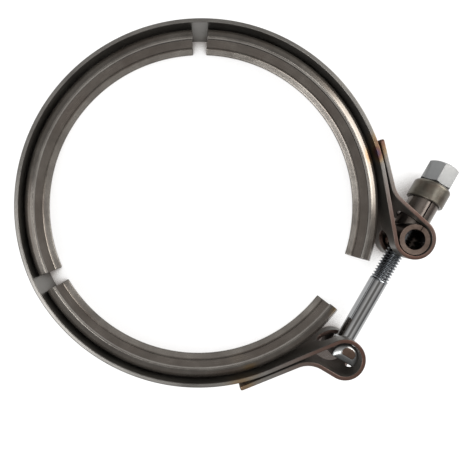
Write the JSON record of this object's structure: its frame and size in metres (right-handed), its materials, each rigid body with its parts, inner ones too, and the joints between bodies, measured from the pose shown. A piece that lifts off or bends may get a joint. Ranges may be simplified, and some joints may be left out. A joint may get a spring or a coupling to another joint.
{
  "type": "v band clamp",
  "caption": "Steel strap ring with V-groove retainers, looped ends, and a T-bolt with trunnion, sleeve, collar and tall hex nut that draws the ring shut round pipe flanges.",
  "frame": {"origin": "centre of the ring of the left and right retainers, at the strap's lower edge", "axes": "+Z along the ring's axis; the bolt lies on the +X side and runs up and to the right, toward +X and +Y, from its head to its nut"},
  "size_m": [0.1975, 0.161, 0.0224],
  "materials": {
    "strap": "brushed stainless strap, brownish at the cut edges",
    "retainer": "rolled stainless, brushed lengthwise",
    "bolt": "bright plated",
    "trunnion": "rolled stainless, polished",
    "sleeve": "rolled stainless",
    "collar": "satin, olive tint",
    "nut": "satin plated"
  },
  "bodies": {
    "ring": {"band": "strap", "retainer_left": "retainer"},
    "right_end": {"retainer_right": "retainer"},
    "lower_end": {"retainer_bottom": "retainer"},
    "trunnion": {"trunnion": "trunnion"},
    "bolt": {"t_bolt": "bolt"},
    "spacer": {"sleeve": "sleeve", "collar": "collar"},
    "nut": {"nut": "nut"}
  },
  "joints": [
    {"name": "ring_close", "type": "hinge", "parent": "ring", "child": "right_end", "pos_m": [-0.0007, 0.0801, 0.0112], "axis": [0, 0, -1], "range_deg": [0, 1.78], "deforming": ["band"]},
    {"name": "lower_close", "type": "hinge", "parent": "ring", "child": "lower_end", "pos_m": [-0.07184, -0.03535, 0.0112], "axis": [0, 0, 1], "range_deg": [0, 1.78], "deforming": ["band"]},
    {"name": "trunnion_swivel", "type": "hinge", "parent": "right_end", "child": "trunnion", "pos_m": [0.092, -0.0146, 0.0112], "axis": [0, 0, 1], "range_deg": [0, 1.59]},
    {"name": "bolt_swivel", "type": "hinge", "parent": "lower_end", "child": "bolt", "pos_m": [0.0626, -0.06552, 0.0112], "axis": [0, 0, -1], "range_deg": [0, 1.97]},
    {"name": "spacer_slide", "type": "slide", "parent": "bolt", "child": "spacer", "axis": [-0.5, -0.866, 0], "range_m": [0, 0.008]},
    {"name": "nut_spin", "type": "hinge", "parent": "spacer", "child": "nut", "pos_m": [0.107, 0.01138, 0.0112], "axis": [-0.5, -0.866, 0], "range_deg": [0, 2041.97]}
  ],
  "couplings": [
    {"joint": "lower_close", "follows": "ring_close", "ratio": 1},
    {"joint": "trunnion_swivel", "follows": "ring_close", "ratio": 0.89192},
    {"joint": "bolt_swivel", "follows": "ring_close", "ratio": 1.1081},
    {"joint": "spacer_slide", "follows": "ring_close", "m_per_rad": 0.2579},
    {"joint": "nut_spin", "follows": "ring_close", "ratio": 1148.3}
  ]
}
